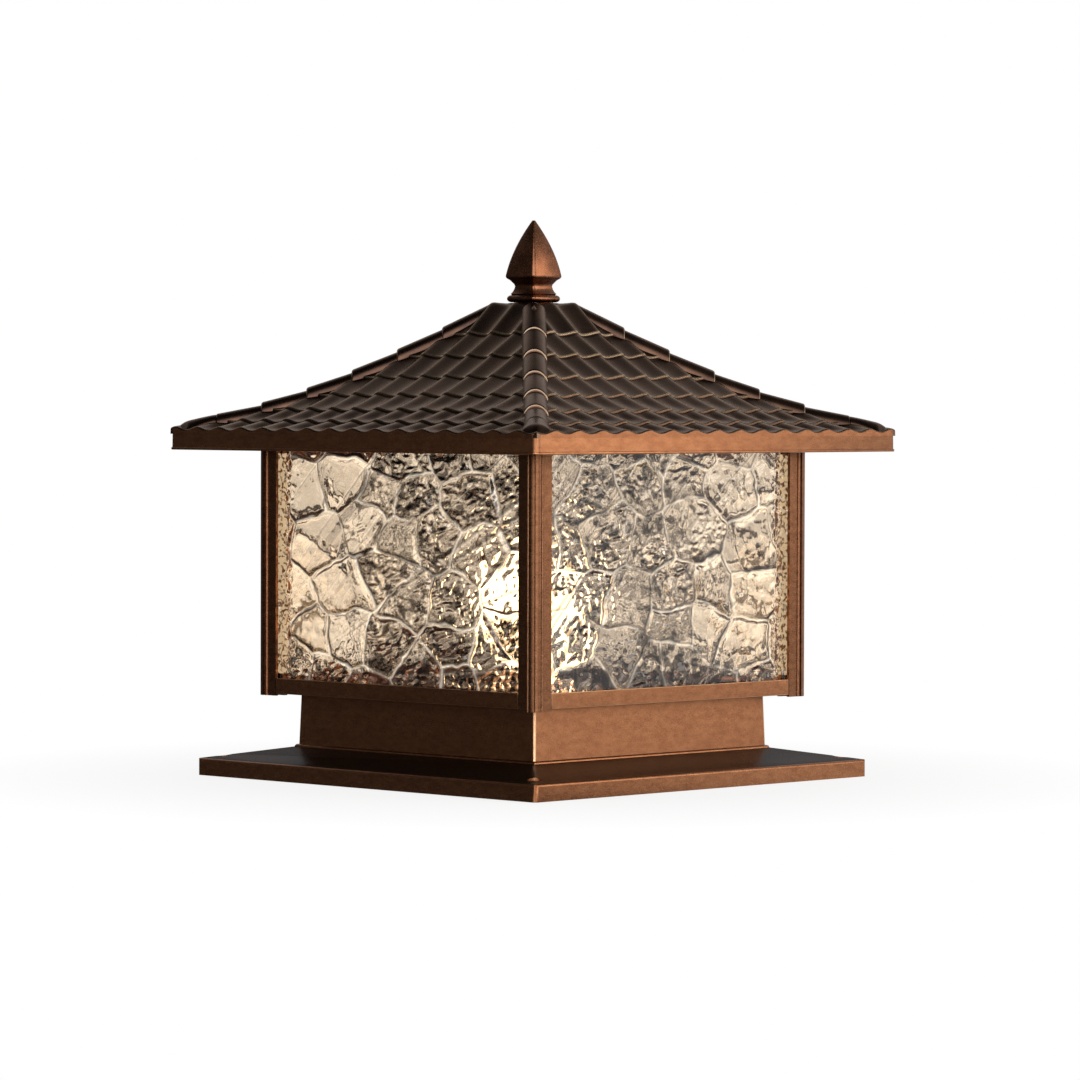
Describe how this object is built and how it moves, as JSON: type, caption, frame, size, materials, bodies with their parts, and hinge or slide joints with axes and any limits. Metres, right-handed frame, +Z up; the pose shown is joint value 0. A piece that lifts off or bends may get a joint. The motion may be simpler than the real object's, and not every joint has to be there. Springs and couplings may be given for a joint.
{
  "type": "pillar light",
  "caption": "Square outdoor pillar light with a tiled hip roof, patterned glass sides, spear finial and a bolt-down base.",
  "frame": {"origin": "centre of the underside of the base plate, where it rests on the pillar", "axes": "+Z up along the axis of the lantern, through stud and finial; X and Y square to the glass sides"},
  "size_m": [0.3, 0.3, 0.3233],
  "materials": {
    "bronze_casting": "antique copper brushed over dark brown",
    "roof_casting": "dark bronze with worn copper lips",
    "finial_casting": "antique copper brushed over dark brown",
    "pattern_glass": "clear glass with a raised stone pattern",
    "bulb_glass": "clear",
    "steel": "zinc plated",
    "cap_metal": "bright",
    "brass": "plain",
    "rubber": "matt",
    "foam": "closed cell foam",
    "ceramic": "white glaze",
    "insulation": "matt sleeve",
    "block_plastic": "moulded polyamide",
    "cap_glass": "black insulator",
    "filament": "phosphor coated LED filament"
  },
  "bodies": {
    "lantern": {"base_casting": "bronze_casting", "plinth_gasket": "rubber", "body_tray": "bronze_casting", "tray_screws": "steel", "corner_post_front_right": "bronze_casting", "corner_post_back_right": "bronze_casting", "corner_post_back_left": "bronze_casting", "corner_post_front_left": "bronze_casting", "post_foot_screws": "steel", "glass_front": "pattern_glass", "glass_right": "pattern_glass", "glass_back": "pattern_glass", "glass_left": "pattern_glass", "setting_strips": "rubber", "top_frame": "bronze_casting", "top_frame_screws": "steel", "crossbar": "steel", "crossbar_screws": "steel", "roof_stud": "steel", "stud_nuts": "steel", "roof_gasket": "foam", "lamp_well": "steel", "well_screws": "steel", "lampholder": "ceramic", "holder_screws": "steel", "screw_shell": "brass", "centre_contact": "brass", "lead_grommet": "rubber", "lamp_lead": "insulation", "terminal_block": "block_plastic", "terminal_screws": "steel", "earth_screw": "brass"},
    "roof": {"roof_casting": "roof_casting"},
    "finial_seal": {"finial_washer": "rubber"},
    "finial": {"finial": "finial_casting"},
    "bulb": {"bulb_cap": "cap_metal", "cap_insulator": "cap_glass", "bulb_globe": "bulb_glass", "bulb_stem": "bulb_glass", "bulb_filaments": "filament"}
  },
  "joints": [
    {"name": "roof_lift", "type": "slide", "parent": "lantern", "child": "roof", "axis": [0, 0, 1], "range_m": [0, 0.15]},
    {"name": "finial_rise", "type": "slide", "parent": "roof", "child": "finial_seal", "axis": [0, 0, 1], "range_m": [0, 0.00801]},
    {"name": "finial_turn", "type": "hinge", "parent": "finial_seal", "child": "finial", "pos_m": [0, 0, 0.285], "axis": [0, 0, 1], "range_deg": [0, 2880]},
    {"name": "bulb_turn", "type": "hinge", "parent": "lantern", "child": "bulb", "pos_m": [0, 0, 0.04], "axis": [0, 0, 1], "range_deg": [0, 1080]}
  ],
  "couplings": [
    {"joint": "finial_rise", "follows": "finial_turn", "m_per_rad": 0.00015915}
  ]
}
